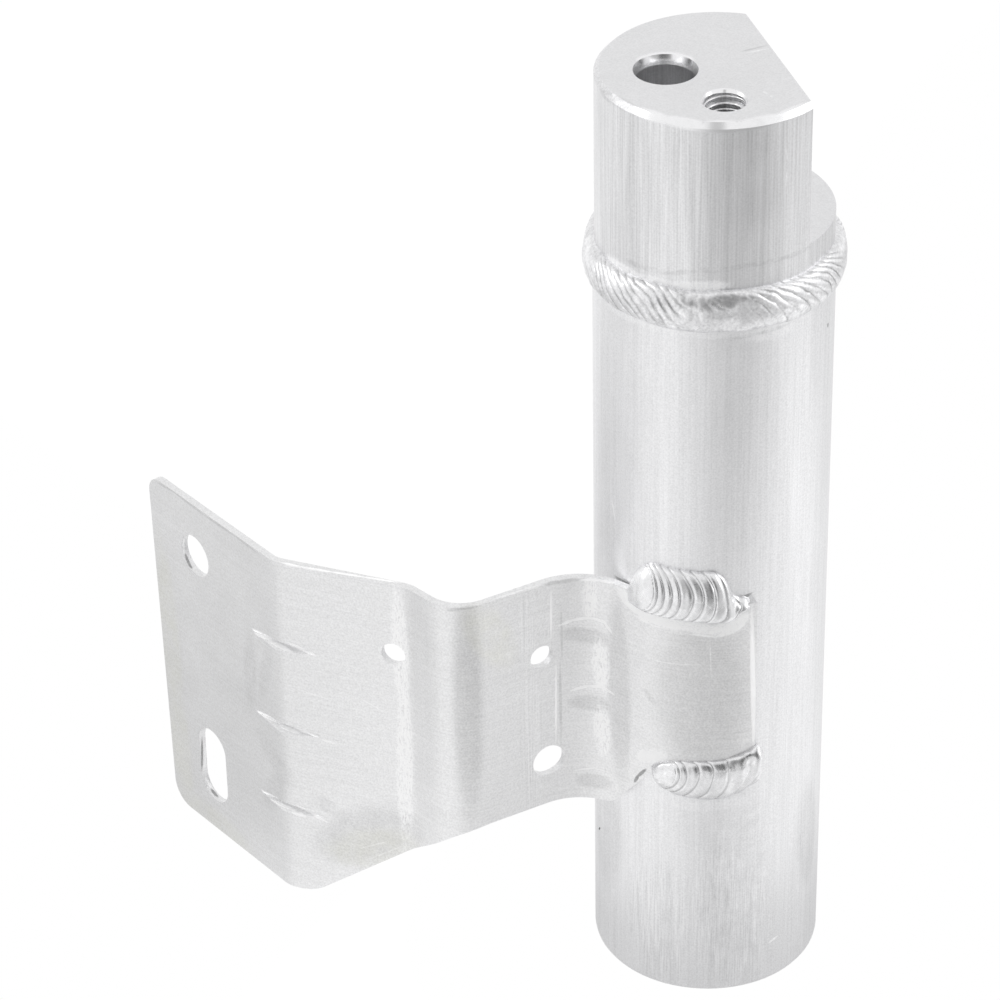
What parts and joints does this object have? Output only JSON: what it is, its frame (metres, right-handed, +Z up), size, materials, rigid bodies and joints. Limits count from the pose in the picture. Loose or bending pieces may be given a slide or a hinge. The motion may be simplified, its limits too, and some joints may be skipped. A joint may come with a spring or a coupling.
{
  "type": "receiver drier",
  "caption": "Slim aluminium receiver drier: a welded can, a ported head on top and a folded sheet bracket welded to its side.",
  "frame": {"origin": "centre of the can's base", "axes": "+Z up the can's axis to the head; X along the mounting flange, whose front faces -Y"},
  "size_m": [0.1519, 0.1251, 0.262],
  "materials": {
    "can": "extruded, satin, fine lines",
    "head": "turned and milled, satin",
    "weld": "rippled bead, bright",
    "bracket": "rolled sheet, satin",
    "tube": "drawn tube",
    "strainer": "moulded",
    "mesh": "woven mesh as a thin wall",
    "plate": "pressed sheet",
    "pad": "felt",
    "desiccant": "ceramic beads",
    "spring": "spring wire"
  },
  "bodies": {
    "root": {"bracket": "bracket", "can": "can", "desiccant_grains": "desiccant", "head": "head", "head_weld": "weld", "lower_filter_pad": "pad", "lower_plate": "plate", "lower_tab_weld": "weld", "pickup_tube": "tube", "stack_spring": "spring", "strainer_frame": "strainer", "strainer_mesh": "mesh", "upper_filter_pad": "pad", "upper_plate": "plate", "upper_tab_weld": "weld"}
  },
  "joints": []
}
